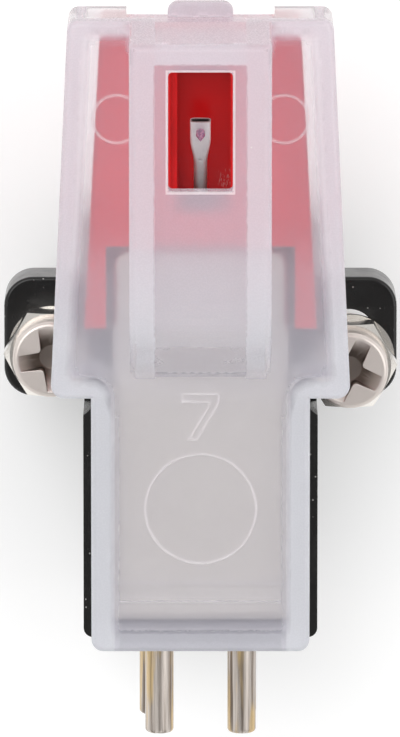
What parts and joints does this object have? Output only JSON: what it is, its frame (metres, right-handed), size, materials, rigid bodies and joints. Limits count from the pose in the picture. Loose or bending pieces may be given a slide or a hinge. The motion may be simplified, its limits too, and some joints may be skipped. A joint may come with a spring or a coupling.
{
  "type": "phono cartridge",
  "caption": "Moving-magnet phono cartridge with slotted mounting ears, metal shield can, red stylus holder, terminal pins and a frosted pull-off stylus guard.",
  "frame": {"origin": "midway between the two mounting screws, on the mounting face", "axes": "+Z away from the mounting face, towards the record; +Y towards the stylus end; X across the screws"},
  "size_m": [0.0168, 0.0315, 0.0204],
  "materials": {
    "black_moulding": "matt black moulding with light scuffs and specks",
    "can_metal": "satin grey drawn metal",
    "red_moulding": "deep red glossy moulding",
    "guard_plastic": "frosted translucent moulding, milky white",
    "screw_nickel": "warm nickel plating",
    "nut_nickel": "nickel plating, bright bevels",
    "pin_metal": "plated pins with fine scratches",
    "cantilever_metal": "bare light metal",
    "diamond": "polished jewel",
    "sleeve_metal": "bare steel",
    "damper_rubber": "soft rubber",
    "magnet_metal": "sintered magnet",
    "core_metal": "bare soft-magnetic alloy",
    "bobbin_plastic": "ivory moulding",
    "winding": "enamelled fine wire"
  },
  "bodies": {
    "cartridge": {"mount_body": "black_moulding", "terminal_block": "black_moulding", "coil_carrier": "black_moulding", "shield_can": "can_metal", "stylus_holder": "red_moulding", "screw_left": "screw_nickel", "screw_right": "screw_nickel", "nut_left": "nut_nickel", "nut_right": "nut_nickel", "washer_left": "nut_nickel", "washer_right": "nut_nickel", "pin_upper_left": "pin_metal", "pin_upper_right": "pin_metal", "pin_lower_left": "pin_metal", "pin_lower_right": "pin_metal", "pivot_sleeve": "sleeve_metal", "wire_anchor": "sleeve_metal", "tension_wire": "sleeve_metal", "core_left": "core_metal", "core_right": "core_metal", "bobbin_left": "bobbin_plastic", "bobbin_right": "bobbin_plastic", "coil_left": "winding", "coil_right": "winding"},
    "guard": {"stylus_guard": "guard_plastic"},
    "damper": {"damper": "damper_rubber"},
    "cantilever": {"cantilever": "cantilever_metal", "magnet_carrier": "cantilever_metal", "magnet_left": "magnet_metal", "magnet_right": "magnet_metal", "stylus_tip": "diamond"}
  },
  "joints": [
    {"name": "guard_pull", "type": "slide", "parent": "cartridge", "child": "guard", "axis": [0, 0, 1], "range_m": [0, 0.014]},
    {"name": "stylus_sway", "type": "hinge", "parent": "cartridge", "child": "damper", "pos_m": [0, 0.007, 0.01035], "axis": [0, -0.454, 0.891], "range_deg": [-3, 3], "stiffness_Nm_per_rad": 0.0043},
    {"name": "stylus_lift", "type": "hinge", "parent": "damper", "child": "cantilever", "pos_m": [0, 0.007, 0.01035], "axis": [1, 0, 0], "range_deg": [-3, 3], "stiffness_Nm_per_rad": 0.0043}
  ]
}
